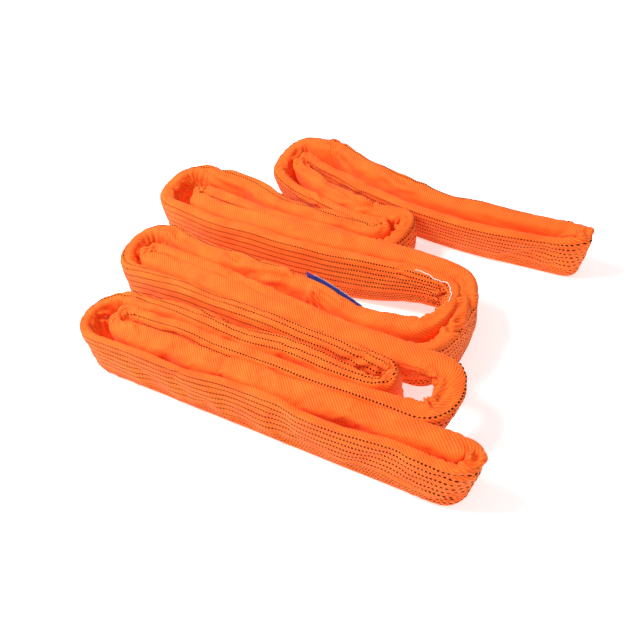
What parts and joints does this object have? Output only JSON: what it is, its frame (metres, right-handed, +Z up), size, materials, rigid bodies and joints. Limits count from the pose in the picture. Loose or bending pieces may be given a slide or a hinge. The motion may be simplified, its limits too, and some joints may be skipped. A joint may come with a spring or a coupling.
{
  "type": "round lifting sling",
  "caption": "Endless polyester round sling, a woven orange sleeve over a loose yarn core, laid doubled in a zigzag on its edge, with a hinged label.",
  "frame": {"origin": "middle of the folded sling's footprint, on the floor it stands on", "axes": "+X along the runs towards the two end bights, +Y from the front run to the back run, +Z up"},
  "size_m": [0.8716, 0.6804, 0.105],
  "materials": {
    "sleeve_cloth": "woven polyester, slight sheen",
    "core_yarn": "loose white polyester yarn",
    "joining_tape": "woven adhesive tape",
    "marker_yarn": "black woven yarn",
    "white_thread": "white sewing thread",
    "label_cloth": "blue coated cloth",
    "clear_film": "clear soft plastic film"
  },
  "bodies": {
    "sling": {"sleeve": "sleeve_cloth", "core_hank_1": "core_yarn", "core_hank_2": "core_yarn", "core_hank_3": "core_yarn", "core_hank_4": "core_yarn", "hank_tape_1": "joining_tape", "hank_tape_2": "joining_tape", "hank_tape_3": "joining_tape", "hank_tape_4": "joining_tape", "marker_yarn_01": "marker_yarn", "marker_yarn_02": "marker_yarn", "marker_yarn_03": "marker_yarn", "marker_yarn_04": "marker_yarn", "marker_yarn_05": "marker_yarn", "marker_yarn_06": "marker_yarn", "marker_yarn_07": "marker_yarn", "marker_yarn_08": "marker_yarn", "marker_yarn_09": "marker_yarn", "marker_yarn_10": "marker_yarn", "closing_seam": "white_thread", "label_tab": "label_cloth", "tab_stitch": "white_thread"},
    "label_flap": {"label": "label_cloth", "label_film": "clear_film", "film_stitch": "white_thread"}
  },
  "joints": [
    {"name": "label_hinge", "type": "hinge", "parent": "sling", "child": "label_flap", "pos_m": [0.154, -0.0955, 0.066], "axis": [0, 0, -1], "range_deg": [0, 20]}
  ]
}
